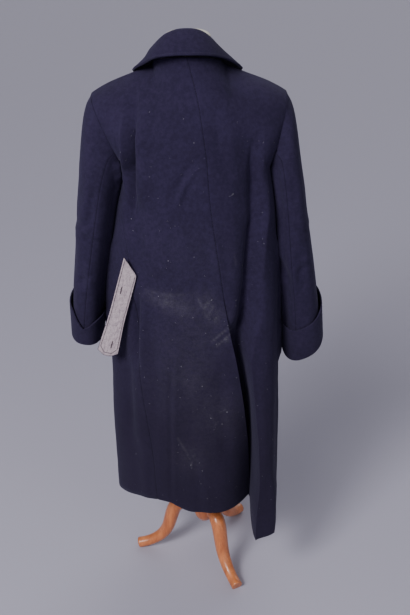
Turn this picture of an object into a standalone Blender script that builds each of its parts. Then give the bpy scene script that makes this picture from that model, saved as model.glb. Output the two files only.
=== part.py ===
"""A navy wool greatcoat hanging on a dress form, with the form's pole and three-legged wooden stand.

Metres, +Z up, floor at z = 0. The back of the coat faces -Y and the wearer's right is +X.
Heights, widths and folds are worked out from the named sizes and tables below.
"""
import math
from collections import namedtuple

import bmesh
import bpy
import numpy as np
from mathutils import Vector

for leftover in list(bpy.data.objects):
    bpy.data.objects.remove(leftover, do_unlink=True)

# The pole's axis is x = 0, y = 0 in the tables. The whole object is moved by this much, so that the
# middle of its footprint lies on the origin.
FRAME_X = 0.0110
FRAME_Y = 0.0174

# Cloth and seams.
CLOTH = 0.003
SEAM = 0.0010
SEAM_STRIP = 0.002
SLEEVE_HEAD_GAPS = {"upper": 0.0020, "under": 0.0010}
WAY_TURN = 0.5
COLLAR_CLOTH = 0.004
BELT_CLOTH = 0.0026
LINING = 0.0011

# Coat levels.
UNDERARM = 1.190
VENT_TOP = 0.830
VENT_RUN = 0.060
VENT_SINK_RUN = 0.100
UNDERLAP_TURN = 12.0
UNDERLAP_CLEAR = 0.0016
UNDERLAP_SHARE = 0.36
UNDERLAP_FADE = 0.14
VENT_CURL = 0.070
VENT_CURL_SHARE = 0.36
VENT_VALLEY = 0.072
VENT_VALLEY_RUN = 0.32
LAP_TURN = 10.0
FOLD_FADE = 0.12
SOFTENING = 3
SOFT_ROWS_ABOVE = 3
SOFT_ROWS_BELOW = 4

# How finely curves are worked out before they are divided evenly.
PLAN_STEPS = 90
YOKE_STEPS = 60
NECK_STEPS = 40
SECTION_STEPS = 200

# Plan of the coat at each height: middle, half width, depth behind and in front of the pole's axis, and how
# square its left and right sides are.
Body = namedtuple("Body", "z middle half_width back front square_left square_right")
BODY = (
    Body(0.10, -0.016, 0.222, 0.148, 0.150, 2.3, 4.0),
    Body(0.25, -0.016, 0.222, 0.147, 0.148, 2.3, 4.0),
    Body(0.45, -0.016, 0.224, 0.145, 0.146, 2.3, 3.8),
    Body(0.70, -0.017, 0.220, 0.142, 0.142, 2.3, 3.6),
    Body(0.90, -0.0200, 0.2172, 0.138, 0.136, 2.3, 3.4),
    Body(1.05, -0.0121, 0.2019, 0.134, 0.130, 2.4, 3.2),
    Body(1.12, -0.0081, 0.1929, 0.131, 0.125, 2.45, 3.1),
    Body(1.19, -0.002, 0.174, 0.128, 0.120, 2.5, 3.0),
)

# Seams in degrees round the plan from the middle of the back. The hanging skirt is turned to the right.
Seams = namedtuple("Seams", "z back left right front")
SEAMS = (
    Seams(0.10, 24.5, 25.0, 67.0, 211.0),
    Seams(0.25, 24.2, 26.7, 68.0, 209.0),
    Seams(0.48, 22.2, 31.0, 70.0, 205.0),
    Seams(0.70, 15.8, 37.5, 73.0, 199.0),
    Seams(0.83, 11.1, 39.5, 75.0, 195.0),
    Seams(0.94, 8.5, 42.0, 77.0, 191.0),
    Seams(1.05, 5.4, 54.0, 82.0, 188.0),
    Seams(1.19, 2.7, 90.0, 90.0, 184.0),
)

# Middle of the back from the underarm level to the neck.
BackLine = namedtuple("BackLine", "z x y")
BACK_LINE = (
    BackLine(1.19, 0.0240, -0.1277),
    BackLine(1.28, 0.0130, -0.1265),
    BackLine(1.37, 0.0000, -0.1130),
    BackLine(1.455, -0.0220, -0.0880),
)

# Neck and shoulders.
NECK_X = -0.022
NECK_HALF = 0.080
NECK_BACK = 0.088
NECK_FRONT = 0.094
NECK_BACK_Z = 1.455
NECK_SIDE_Z = 1.428
NECK_FRONT_Z = 1.388
NECK_LAP = 0.030
SHOULDER_RISE = 0.005
SHOULDER_ROUND = 0.62
ARM_TURN = 52.0
NECK_SHARE = 0.42

# Each sleeve from the armhole to the cuff fold: outer and inner line, middle in y and half depth.
Ring = namedtuple("Ring", "at outer_x outer_z inner_x inner_z middle_y half_depth")
SLEEVES = {
    "left": (
        Ring(0.00, -0.248, 1.362, -0.176, 1.190, 0.000, 0.072),
        Ring(0.08, -0.265, 1.334, -0.187, 1.165, 0.000, 0.082),
        Ring(0.22, -0.280, 1.250, -0.202, 1.125, -0.004, 0.088),
        Ring(0.38, -0.296, 1.140, -0.213, 1.070, -0.006, 0.088),
        Ring(0.56, -0.312, 1.020, -0.2265, 0.990, -0.004, 0.086),
        Ring(0.77, -0.329, 0.880, -0.247, 0.880, 0.004, 0.082),
        Ring(1.00, -0.339, 0.750, -0.262, 0.737, 0.012, 0.077),
    ),
    "right": (
        Ring(0.00, 0.209, 1.360, 0.172, 1.190, 0.000, 0.072),
        Ring(0.08, 0.225, 1.332, 0.180, 1.165, 0.000, 0.082),
        Ring(0.22, 0.239, 1.255, 0.187, 1.122, 0.000, 0.088),
        Ring(0.38, 0.257, 1.145, 0.1915, 1.066, 0.000, 0.088),
        Ring(0.56, 0.277, 1.020, 0.1955, 0.982, 0.000, 0.086),
        Ring(0.77, 0.300, 0.875, 0.2065, 0.866, 0.002, 0.084),
        Ring(1.00, 0.317, 0.738, 0.217, 0.692, 0.004, 0.084),
    ),
}
SLEEVE_SQUARE = 2.5
SLEEVE_DROOP = {"left": 0.011, "right": 0.024}
SLEEVE_DROOP_FROM = 0.5
BACK_ARM_TOP = 108.0
BACK_ARM_CUFF = {"left": 86.0, "right": 108.0}
FRONT_ARM_TURN = 260.0

# Turned-back cuffs.
Cuff = namedtuple("Cuff", "height notch notch_turn inner_rise")
CUFFS = {
    "left": Cuff(0.100, 0.050, 46.0, 0.4),
    "right": Cuff(0.096, 0.022, 80.0, 0.0),
}
CUFF_INNER_TURN = 40.0
CUFF_INNER_END = 90.0
CUFF_INNER_RUN = 60.0
CUFF_FLARE = 0.004
CUFF_CLEAR = 0.0019

# Folds of the skirt and back. A fold runs down one panel, "place" is the share of the panel's width from
# its middle edge, "flat" the share of the fold with a flat top and "push" the way it moves the cloth, in
# degrees from straight back.
Fold = namedtuple(
    "Fold", "panel z_top z_bottom place_top place_bottom width flat depth_top depth_bottom push"
)
FOLDS = (
    Fold("back_left", 1.400, 1.000, 0.60, 0.82, 0.14, 0.0, -0.016, -0.022, 0.0),
    Fold("back_left", 1.000, 0.000, 0.55, 0.45, 0.30, 0.0, 0.000, 0.010, -10.0),
    Fold("back_right", 1.340, 0.640, 0.56, 0.28, 0.26, 0.0, -0.012, -0.036, 5.0),
    Fold("back_right", 0.950, 0.050, 0.66, 0.61, 0.31, 0.5, 0.004, 0.090, -2.0),
    Fold("back_right", 0.370, -0.100, 0.50, 0.48, 0.20, 0.3, 0.010, 0.013, -90.0),
    Fold("back_right", 0.420, -0.100, 0.82, 0.82, 0.17, 0.3, 0.010, 0.012, 90.0),
    Fold("front_left", 0.980, 0.000, 0.86, 0.84, 0.10, 0.0, -0.012, -0.008, -60.0),
    Fold("front_left", 0.900, 0.000, 0.62, 0.60, 0.16, 0.0, 0.006, 0.012, -110.0),
    Fold("front_right", 0.900, 0.000, 0.60, 0.62, 0.18, 0.0, -0.006, -0.014, 120.0),
    Fold("front_right", 1.600, -0.050, 0.00, 0.00, 0.41, 0.5, -0.0110, -0.006, 180.0),
)

# Hem height of each panel from its middle edge, 0, to its side edge, 1.
Hem = namedtuple("Hem", "place z")
HEMS = {
    "back_left": (
        Hem(0.00, 0.252),
        Hem(0.30, 0.249),
        Hem(0.50, 0.254),
        Hem(0.68, 0.256),
        Hem(0.86, 0.280),
        Hem(1.00, 0.284),
    ),
    "back_right": (
        Hem(0.00, 0.240),
        Hem(0.33, 0.240),
        Hem(0.40, 0.209),
        Hem(0.55, 0.205),
        Hem(0.72, 0.208),
        Hem(1.00, 0.228),
    ),
    "front_left": (Hem(0.0, 0.245), Hem(0.5, 0.250), Hem(0.8, 0.272), Hem(1.0, 0.284)),
    "front_right": (Hem(0.0, 0.245), Hem(0.5, 0.242), Hem(0.8, 0.234), Hem(1.0, 0.228)),
}

# Collar, by degrees round the neck from the middle of the back: roll line and leaf edge.
CollarRow = namedtuple("CollarRow", "turn roll roll_z leaf leaf_z")
COLLAR = (
    CollarRow(-30.0, 0.0795, 1.506, 0.1180, 1.459),
    CollarRow(0.0, 0.0800, 1.513, 0.1200, 1.463),
    CollarRow(30.0, 0.0795, 1.506, 0.1180, 1.459),
    CollarRow(60.0, 0.0785, 1.476, 0.1120, 1.442),
    CollarRow(90.0, 0.0780, 1.450, 0.1290, 1.415),
    CollarRow(130.0, 0.0880, 1.428, 0.1360, 1.384),
    CollarRow(170.0, 0.0980, 1.410, 0.1420, 1.346),
)

# Half-belt, sewn in the left side seam and hanging by a diagonal fold.
BELT_TOP_X = -0.168
BELT_TOP_Z = 0.970
BELT_LENGTH = 0.260
BELT_HALF = 0.0215
BELT_END_HALF = 0.0265
BELT_LEAN = 16.5
BELT_SLOPE = 0.90
BELT_CORNER = 0.012
BELT_CORNER_FROM = 0.34
BELT_FLARE_FROM = 0.55
BELT_Y_TOP = -0.1175
BELT_Y_BOTTOM = -0.1075
LINING_INSET = 0.0010
LINING_GAP = 0.0003

# Buttons of the closed front, with the profile as shares of the radius and thickness, top to bottom.
BUTTON_COUNT = 5
BUTTON_RADIUS = 0.013
BUTTON_THICK = 0.004
ButtonRow = namedtuple("ButtonRow", "radius height")
BUTTON = (
    ButtonRow(0.00, 1.00),
    ButtonRow(0.75, 1.00),
    ButtonRow(1.00, 0.60),
    ButtonRow(1.00, 0.25),
    ButtonRow(0.50, 0.00),
    ButtonRow(0.00, 0.00),
)
BUTTON_SIDES = 16
BUTTON_GAP = 0.0006
BUTTON_TOP_ROW = 5
BUTTON_ROW_STEP = 4
BUTTON_COLUMN = 3

# Dress form from its base to its neck, leaning a little with the coat.
FormRow = namedtuple("FormRow", "z middle half_width half_depth middle_y")
FORM = (
    FormRow(0.765, 0.000, 0.140, 0.088, 0.000),
    FormRow(0.780, 0.000, 0.150, 0.094, 0.000),
    FormRow(0.840, -0.003, 0.154, 0.097, 0.000),
    FormRow(0.920, -0.006, 0.145, 0.093, 0.000),
    FormRow(1.000, -0.009, 0.130, 0.087, 0.000),
    FormRow(1.100, -0.012, 0.134, 0.090, -0.001),
    FormRow(1.200, -0.016, 0.138, 0.090, -0.003),
    FormRow(1.285, -0.019, 0.140, 0.078, -0.006),
    FormRow(1.341, -0.021, 0.138, 0.062, -0.008),
    FormRow(1.376, -0.022, 0.124, 0.050, -0.008),
    FormRow(1.396, -0.022, 0.104, 0.046, -0.008),
    FormRow(1.411, -0.022, 0.080, 0.045, -0.008),
    FormRow(1.430, -0.022, 0.062, 0.045, -0.008),
    FormRow(1.458, -0.021, 0.055, 0.046, -0.008),
    FormRow(1.488, -0.020, 0.053, 0.046, -0.008),
)
CAP_HEIGHT = 0.014
CAP_RINGS = 5
CAP_GAP = 0.0005
POLE_GAP = 0.0005
CAP_ROUND = 78.0
POLE_RADIUS = 0.0125
POLE_SIDES = 20
HUB_SIDES = 24
HubRow = namedtuple("HubRow", "radius z")
HUB = (
    HubRow(0.000, 0.215),
    HubRow(0.020, 0.215),
    HubRow(0.026, 0.205),
    HubRow(0.022, 0.195),
    HubRow(0.032, 0.181),
    HubRow(0.032, 0.139),
    HubRow(0.026, 0.123),
    HubRow(0.014, 0.109),
    HubRow(0.000, 0.105),
)
LEG_COUNT = 3
LEG_STEP = 0.01
LEG_FIRST_TURN = 26.6
LegRow = namedtuple("LegRow", "at reach z radius")
LEG = (
    LegRow(0.00, 0.0327, 0.170, 0.0160),
    LegRow(0.13, 0.0580, 0.170, 0.0200),
    LegRow(0.27, 0.0840, 0.158, 0.0220),
    LegRow(0.42, 0.0990, 0.118, 0.0210),
    LegRow(0.56, 0.1100, 0.078, 0.0195),
    LegRow(0.72, 0.1330, 0.044, 0.0175),
    LegRow(0.87, 0.1670, 0.022, 0.0160),
    LegRow(1.00, 0.1990, 0.012, 0.0165),
)


def eased(value):
    """Smooth step from 0 to 1."""
    held = min(max(value, 0.0), 1.0)
    return held * held * (3 - 2 * held)


def along(table, column, where):
    """Smooth value of a table's column at a place along its first column."""
    keys = np.array([row[0] for row in table])
    values = np.array([getattr(row, column) for row in table])
    slopes = np.gradient(values, keys)
    low = int(np.clip(np.searchsorted(keys, where) - 1, 0, len(keys) - 2))
    span = keys[low + 1] - keys[low]
    u = min(max((where - keys[low]) / span, 0.0), 1.0)
    start = (1 + 2 * u) * (1 - u) ** 2 * values[low] + u * (1 - u) ** 2 * span * slopes[low]
    end = u * u * (3 - 2 * u) * values[low + 1] + u * u * (u - 1) * span * slopes[low + 1]
    return start + end


def evenly(points, count):
    """The same curve as count + 1 points at even distances."""
    steps = np.linalg.norm(np.diff(points, axis=0), axis=1)
    reached = np.concatenate([[0.0], np.cumsum(steps)])
    wanted = np.linspace(0.0, reached[-1], count + 1)
    return np.stack([np.interp(wanted, reached, points[:, axis]) for axis in range(3)], axis=1)


def rounded(turns, z):
    """Unit plan of the coat at height z: across and backward shares for angles round it."""
    across = np.sin(np.radians(turns))
    back = np.cos(np.radians(turns))
    power = np.where(across > 0, 2 / along(BODY, "square_right", z), 2 / along(BODY, "square_left", z))
    return np.sign(across) * np.abs(across) ** power, np.sign(back) * np.abs(back) ** power


def plan_row(z, start, end, count):
    """Even points of the coat's plan at height z between two angles."""
    across, back = rounded(np.linspace(start, end, PLAN_STEPS), z)
    depth = np.where(back > 0, along(BODY, "back", z), along(BODY, "front", z))
    x = along(BODY, "middle", z) + along(BODY, "half_width", z) * across
    return evenly(np.stack([x, -depth * back, np.full_like(x, z)], axis=1), count)


def seam_turns(panel, z):
    """Angles of a panel's middle edge and side edge at height z."""
    if panel == "back_left":
        return along(SEAMS, "back", z), -along(SEAMS, "left", z)
    if panel == "back_right":
        underlap = UNDERLAP_TURN * eased((VENT_TOP - z) / VENT_RUN)
        return along(SEAMS, "back", z) - underlap, along(SEAMS, "right", z)
    if panel == "front_left":
        return along(SEAMS, "front", z) - LAP_TURN, 360 - along(SEAMS, "left", z)
    return along(SEAMS, "front", z) + LAP_TURN, along(SEAMS, "right", z)


def armhole(side, turn):
    """Point of the armhole, from the shoulder point at 0 round the back to the underarm at 180."""
    return sleeve_point(side, 0.0, turn)


def squared(share):
    """A sleeve's section is a little squarer than an ellipse."""
    return math.copysign(abs(share) ** (2 / SLEEVE_SQUARE), share)


def sleeve_point(side, at, turn):
    """Point of a sleeve's outer surface, with turn 0 on its outer line and 90 at its back."""
    rings = SLEEVES[side]
    outer = np.array([along(rings, "outer_x", at), along(rings, "outer_z", at)])
    inner = np.array([along(rings, "inner_x", at), along(rings, "inner_z", at)])
    across = squared(math.cos(math.radians(turn)))
    x, z = (outer + inner) / 2 + across * (outer - inner) / 2
    back = squared(math.sin(math.radians(turn)))
    depth = along(rings, "half_depth", at) * back
    droop = SLEEVE_DROOP[side] * eased((at - SLEEVE_DROOP_FROM) / (1 - SLEEVE_DROOP_FROM)) * back
    return np.array([x, along(rings, "middle_y", at) - depth, z - droop])


def even_turns(side, at, first, last, count):
    """Turns round a sleeve that bend its section evenly."""
    rings = SLEEVES[side]
    outer = np.array([along(rings, "outer_x", at), along(rings, "outer_z", at)])
    inner = np.array([along(rings, "inner_x", at), along(rings, "inner_z", at)])
    flatness = np.linalg.norm(outer - inner) / 2 / along(rings, "half_depth", at)
    turns = np.radians(np.linspace(first, last, SECTION_STEPS))
    power = 2 - 2 / SLEEVE_SQUARE
    across = np.copysign(np.abs(np.cos(turns)) ** power, np.cos(turns))
    back = np.copysign(np.abs(np.sin(turns)) ** power, np.sin(turns))
    facing = np.unwrap(np.arctan2(back * flatness, across))
    return np.degrees(np.interp(np.linspace(facing[0], facing[-1], count + 1), facing, turns))


def neckline(turn):
    """Point of the neck seam, by degrees round from the middle of the back."""
    across = math.sin(math.radians(turn))
    level = math.cos(math.radians(turn))
    depth, height = (NECK_BACK, NECK_BACK_Z) if level > 0 else (NECK_FRONT, NECK_FRONT_Z)
    z = NECK_SIDE_Z + (height - NECK_SIDE_Z) * abs(level)
    return np.array([NECK_X + NECK_HALF * across, -depth * level, z])


def top_edge(side, front, count):
    """Neckline and shoulder seam of a panel, from its middle edge to the shoulder point."""
    way = -1 if side == "left" else 1
    neck_count = round(count * NECK_SHARE)
    lap = math.degrees(math.asin(NECK_LAP / NECK_HALF))
    first = 180.0 + lap if front else 0.0
    turns = np.linspace(first, 90.0, NECK_STEPS)
    neck = evenly(np.array([neckline(way * turn) for turn in turns]), neck_count)
    end = armhole(side, 0.0)
    shares = np.linspace(0.0, 1.0, count - neck_count + 1)[1:]
    rise = SHOULDER_RISE * np.sin(np.pi * shares ** 2)
    shoulder = neck[-1] + shares[:, None] * (end - neck[-1]) + rise[:, None] * np.array([0.0, 0.0, 1.0])
    return np.concatenate([neck, shoulder])


def yoke_rows(panel, below, count, rows):
    """Rows of a panel from its neckline and shoulder seam down to the row at the underarm level."""
    where, side = panel.split("_")
    front = where == "front"
    base = 180.0 if front else 0.0
    first, last = (turn - base for turn in seam_turns(panel, UNDERARM))
    top = top_edge(side, front, count)
    grid = []
    for row in range(rows):
        share = row / rows
        edge = armhole(side, -180 * share if front else 180 * share)
        middle_z = top[0][2] + share * (UNDERARM - top[0][2])
        if front:
            forward = math.sin(share * math.pi / 2)
            middle_x = top[0][0] + share * (below[0][0] - top[0][0])
            middle = np.array([middle_x, top[0][1] + forward * (below[0][1] - top[0][1]), middle_z])
        else:
            middle = np.array([along(BACK_LINE, "x", middle_z), along(BACK_LINE, "y", middle_z), middle_z])
        reach = math.copysign(ARM_TURN + share * (abs(last) - ARM_TURN), last)
        begin = first if front else first * share
        across, back = rounded(base + np.linspace(begin, reach, YOKE_STEPS), UNDERARM)
        across = (across - across[0]) / (across[-1] - across[0])
        back = (back - back[-1]) / (back[0] - back[-1])
        line = np.stack([
            middle[0] + (edge[0] - middle[0]) * across,
            edge[1] + (middle[1] - edge[1]) * back,
            middle[2] + (edge[2] - middle[2]) * across,
        ], axis=1)
        points = evenly(line, count)
        if row == 0:
            lift = top - points
        spread = min(1.0, share / SHOULDER_ROUND) * math.pi / 2
        fade = np.array([1 - math.sin(spread), 1 - math.sin(spread), math.cos(spread)])
        grid.append(points + lift * fade)
    return grid


def fold_shift(panel, place, z):
    """How far the folds of a panel move the cloth at one place."""
    shift = np.zeros(3)
    for fold in FOLDS:
        if fold.panel != panel or z > fold.z_top:
            continue
        down = min(1.0, (fold.z_top - z) / (fold.z_top - fold.z_bottom))
        middle = fold.place_top + (fold.place_bottom - fold.place_top) * down
        off = (place - middle) / fold.width
        if abs(off) >= 1:
            continue
        depth = fold.depth_top + (fold.depth_bottom - fold.depth_top) * down
        fade = eased((fold.z_top - z) / FOLD_FADE) * eased((z - fold.z_bottom) / FOLD_FADE)
        size = depth * fade * eased((1 - abs(off)) / (1 - fold.flat))
        push = math.radians(fold.push)
        shift += size * np.array([math.sin(push), -math.cos(push), 0.0])
    return shift


def vent_shift(panel, place, z):
    """The vent's edge on the left half back curls in, and the right half back lies in a valley behind it."""
    if panel == "back_left":
        curl = VENT_CURL * eased((VENT_TOP - z) / (VENT_TOP - HEMS["back_left"][0].z)) ** 2
        return curl * max(0.0, 1 - place / VENT_CURL_SHARE) ** 2
    if panel == "back_right":
        under = (CLOTH + UNDERLAP_CLEAR) * eased((VENT_TOP + VENT_SINK_RUN - z) / VENT_SINK_RUN)
        valley = VENT_VALLEY * eased((VENT_TOP - z) / VENT_VALLEY_RUN)
        return (under + valley) * (1 - eased((place - UNDERLAP_SHARE) / UNDERLAP_FADE))
    return 0.0


def softened(grid, first, last):
    """The grid with the rows between two rows eased into each other, and its side edges kept."""
    columns = grid.shape[1]
    amount = np.sin(np.pi * np.linspace(0.0, 1.0, columns))[None, :, None] ** 2
    for _ in range(SOFTENING):
        smooth = (grid[:-2] + 2 * grid[1:-1] + grid[2:]) / 4
        grid[first:last] += amount * (smooth[first - 1:last - 1] - grid[first:last])
    return grid


def panel_grid(panel, count, yoke, skirt):
    """Outer surface of a body panel as rows of points from the shoulder to the hem."""
    hem = HEMS[panel]
    lower = []
    for row in range(skirt + 1):
        points = []
        for column in range(count + 1):
            place = column / count
            z = UNDERARM + (along(hem, "z", place) - UNDERARM) * row / skirt
            start, end = seam_turns(panel, z)
            points.append(plan_row(z, start, end, count)[column])
        lower.append(np.array(points))
    grid = np.array(yoke_rows(panel, lower[0], count, yoke) + lower)
    grid = softened(grid, yoke - SOFT_ROWS_ABOVE, yoke + SOFT_ROWS_BELOW)
    for row in grid:
        for column, point in enumerate(row):
            place = column / count
            z = point[2]
            point += fold_shift(panel, place, z) + np.array([0.0, vent_shift(panel, place, z), 0.0])
    return grid


def seam_way(panel, z, middle):
    """Level direction of the plan into a panel, at its middle edge or its side edge."""
    start, end = seam_turns(panel, z)
    here, there = (start, end) if middle else (end, start)
    near = plan_row(z, here, here + math.copysign(WAY_TURN, there - here), 1)
    return near[1] - near[0]


def edge_way(grid, name, level=False):
    """Direction into the cloth along its surface at one edge, kept level on a ridge."""
    lines = {
        "first_row": (grid[0], grid[1], grid[2]),
        "last_row": (grid[-1], grid[-2], grid[-3]),
        "first_column": (grid[:, 0], grid[:, 1], grid[:, 2]),
        "last_column": (grid[:, -1], grid[:, -2], grid[:, -3]),
    }
    edge, near, far = lines[name]
    way = 4 * near - far - 3 * edge
    if level:
        way = way * np.array([1.0, 1.0, 0.0])
    return way / np.linalg.norm(way, axis=1, keepdims=True)


def panel_way(panel, grid, name):
    """Direction into a body panel at one edge, the same line as its neighbour's where the two are sewn."""
    way = edge_way(grid, name, name == "first_row")
    if name == "first_row":
        way[0] = np.array([0.0, math.copysign(1.0, way[0][1]), 0.0])
        return way
    edge = grid[:, 0] if name == "first_column" else grid[:, -1]
    for row, point in enumerate(edge):
        z = point[2]
        if name == "first_column" and z > UNDERARM:
            way[row] = np.array([-1.0 if panel.endswith("left") else 1.0, 0.0, 0.0])
        elif name == "first_column" and z > VENT_TOP or name == "last_column" and z < UNDERARM:
            way[row] = seam_way(panel, z, name == "first_column")
    return way / np.linalg.norm(way, axis=1, keepdims=True)


def sewn(grid, gaps, ways):
    """The grid with its sewn edges drawn back by their gaps, and a narrow strip along each of them."""
    for name, gap in gaps.items():
        axis = 0 if name.endswith("row") else 1
        spot = 0 if name.startswith("first") else grid.shape[axis] - 1
        way = ways(grid, name)
        edge = np.take(grid, spot, axis) + gap * way
        rest = np.delete(grid, spot, axis)
        strip = [edge, edge + SEAM_STRIP * way]
        if spot == 0:
            grid = np.concatenate([np.stack(strip, axis), rest], axis)
        else:
            grid = np.concatenate([rest, np.stack(strip[::-1], axis)], axis)
    return grid


def finish(obj, collection, parent, look):
    """Material, collection and place of a finished sub-part."""
    material = bpy.data.materials.new(obj.name)
    material.use_nodes = True
    shader = material.node_tree.nodes["Principled BSDF"]
    shader.inputs["Base Color"].default_value = (*look.color, 1.0)
    shader.inputs["Roughness"].default_value = look.roughness
    obj.data.materials.append(material)
    obj.parent = parent
    collection.objects.link(obj)
    for face in obj.data.polygons:
        face.use_smooth = True


def mesh_object(name, points, faces):
    mesh = bpy.data.meshes.new(name)
    mesh.from_pydata([tuple(map(float, point)) for point in points], [], faces)
    mesh.update()
    return bpy.data.objects.new(name, mesh)


def cloth(name, grid, thickness, turned, closed=False):
    """A sheet of cloth from rows of points, with its thickness on the inner side."""
    rows, columns = grid.shape[:2]
    wrap = columns if closed else columns - 1
    faces = []
    for row in range(rows - 1):
        for column in range(wrap):
            after = (column + 1) % columns
            corners = (
                row * columns + column,
                row * columns + after,
                (row + 1) * columns + after,
                (row + 1) * columns + column,
            )
            faces.append(corners[::-1] if turned else corners)
    obj = mesh_object(name, grid.reshape(-1, 3), faces)
    wall = obj.modifiers.new("wall", "SOLIDIFY")
    wall.thickness = thickness
    wall.offset = -1.0
    return obj


def rings_object(name, rings):
    """A closed solid through rings of points, from its first end to its last."""
    count = len(rings[0])
    faces = [tuple(range(count))[::-1]]
    for ring in range(len(rings) - 1):
        for side in range(count):
            after = (side + 1) % count
            faces.append((
                ring * count + side,
                ring * count + after,
                (ring + 1) * count + after,
                (ring + 1) * count + side,
            ))
    last = (len(rings) - 1) * count
    faces.append(tuple(range(last, last + count)))
    obj = mesh_object(name, np.concatenate(rings), faces)
    form = bmesh.new()
    form.from_mesh(obj.data)
    bmesh.ops.recalc_face_normals(form, faces=form.faces)
    form.to_mesh(obj.data)
    form.free()
    return obj


def turned_object(name, profile, steps):
    """A turned solid from a profile of radius and height, top to bottom."""
    mesh = bpy.data.meshes.new(name)
    points = [(radius, 0.0, z) for radius, z in profile]
    mesh.from_pydata(points, [(i, i + 1) for i in range(len(points) - 1)], [])
    obj = bpy.data.objects.new(name, mesh)
    screw = obj.modifiers.new("turned", "SCREW")
    screw.axis = "Z"
    screw.steps = steps
    screw.render_steps = steps
    screw.use_merge_vertices = True
    screw.merge_threshold = 0.0001
    return obj


parts = bpy.data.collections.new("greatcoat_on_dress_form")
bpy.context.scene.collection.children.link(parts)
frame = bpy.data.objects.new("greatcoat_frame", None)
frame.location = (FRAME_X, FRAME_Y, 0.0)
parts.objects.link(frame)

Finish = namedtuple("Finish", "color roughness")
NAVY = Finish((0.028, 0.026, 0.052), 0.9)
BEIGE = Finish((0.38, 0.33, 0.36), 0.85)
CREAM = Finish((0.75, 0.72, 0.66), 0.6)
FORM_COVER = Finish((0.30, 0.28, 0.26), 0.9)
WOOD = Finish((0.50, 0.20, 0.07), 0.3)
HORN = Finish((0.020, 0.018, 0.022), 0.4)

# Half backs and fronts.
PanelRow = namedtuple("PanelRow", "name columns yoke_rows skirt_rows")
PANELS = (
    PanelRow("back_left", 15, 8, 20),
    PanelRow("back_right", 18, 8, 20),
    PanelRow("front_left", 14, 8, 16),
    PanelRow("front_right", 13, 8, 16),
)
panel_grids = {}
for panel, count, yoke, skirt in PANELS:
    gaps = {"first_row": SEAM / 2, "first_column": SEAM / 2, "last_column": SEAM / 2}
    outer = panel_grid(panel, count, yoke, skirt)
    panel_grids[panel] = sewn(outer, gaps, lambda grid, name: panel_way(panel, grid, name))
    turned = panel in ("back_right", "front_left")
    finish(cloth(panel, panel_grids[panel], CLOTH, turned), parts, frame, NAVY)

# Two-piece sleeves.
SLEEVE_ROWS = 12
UPPER_COLUMNS = 10
UNDER_COLUMNS = 9


def arm_seams(side, piece, at):
    """Turns at which a sleeve piece begins and ends."""
    seam = BACK_ARM_TOP + (BACK_ARM_CUFF[side] - BACK_ARM_TOP) * at
    return (FRONT_ARM_TURN - 360, seam) if piece == "upper" else (seam, FRONT_ARM_TURN)


def sleeve_way(side, piece, grid, name):
    """Direction into a sleeve piece at one edge, the same line as its neighbour's at the arm seams."""
    if name == "first_row":
        return edge_way(grid, name)
    way = []
    for at in np.linspace(0.0, 1.0, len(grid)):
        first, last = arm_seams(side, piece, at)
        turn, step = (first, WAY_TURN) if name == "first_column" else (last, -WAY_TURN)
        way.append(sleeve_point(side, at, turn + step) - sleeve_point(side, at, turn))
    return np.array(way) / np.linalg.norm(way, axis=1, keepdims=True)


for side in SLEEVES:
    for piece, columns in (("upper", UPPER_COLUMNS), ("under", UNDER_COLUMNS)):
        rows = []
        for at in np.linspace(0.0, 1.0, SLEEVE_ROWS + 1):
            turns = even_turns(side, at, *arm_seams(side, piece, at), columns)
            rows.append([sleeve_point(side, at, turn) for turn in turns])
        gaps = {"first_column": SEAM / 2, "last_column": SEAM / 2, "first_row": SLEEVE_HEAD_GAPS[piece]}
        grid = sewn(np.array(rows), gaps, lambda grid, name: sleeve_way(side, piece, grid, name))
        finish(cloth(f"sleeve_{side}_{piece}", grid, CLOTH, side == "left"), parts, frame, NAVY)

# Turned-back cuffs, each a ring round the sleeve's end.
CUFF_COLUMNS = 24
CUFF_ROWS = 3


def notch_share(cuff, away):
    """How far a cuff's top edge is let down by its notch: the outer flap stands up and the inner one sags."""
    if away < 0:
        return max(0.0, 1 + away / cuff.notch_turn)
    sag = 1 - cuff.inner_rise * eased(away / CUFF_INNER_TURN)
    return sag * (1 - eased((away - CUFF_INNER_END) / CUFF_INNER_RUN))


for side, rings in SLEEVES.items():
    length = math.dist((rings[0].outer_x, rings[0].outer_z), (rings[-1].outer_x, rings[-1].outer_z))
    middle = np.array([(rings[-1].outer_x + rings[-1].inner_x) / 2, rings[-1].middle_y, 0.0])
    grid = []
    for row in range(CUFF_ROWS + 1):
        up = 1 - row / CUFF_ROWS
        points = []
        for away in np.arange(CUFF_COLUMNS) * 360 / CUFF_COLUMNS - 180:
            turn = BACK_ARM_CUFF[side] + away
            height = CUFFS[side].height - CUFFS[side].notch * notch_share(CUFFS[side], away)
            point = sleeve_point(side, 1 - up * height / length, turn)
            inner = sleeve_point(side, 1 - up * height / length, turn + 180)
            out = (point - inner) * np.array([1.0, 1.0, 0.0])
            out /= np.linalg.norm(out)
            points.append(point + out * (CLOTH + CUFF_CLEAR + CUFF_FLARE * up))
        grid.append(points)
    cuff = cloth(f"cuff_{side}", np.array(grid), CLOTH, side == "left", closed=True)
    finish(cuff, parts, frame, NAVY)

# Collar: the stand rises from the neck seam and the fall turns over it.
COLLAR_COLUMNS = 26
COLLAR_END = 168.0
STAND_ROWS = 2
FALL_ROWS = 3
FALL_BOW = 0.004
STAND_LIFT = 0.0016
STAND_FRONT_LIFT = 0.0048
STAND_LIFT_FROM = 50.0
STAND_LIFT_RUN = 50.0
ROLL_GAP = 0.0018


def collar_ring(radius, height, turn):
    angle = math.radians(turn)
    return np.array([NECK_X + radius * math.sin(angle), -radius * math.cos(angle), height])


def collar_value(column, turn):
    return along(COLLAR, column, abs(turn))


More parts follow.
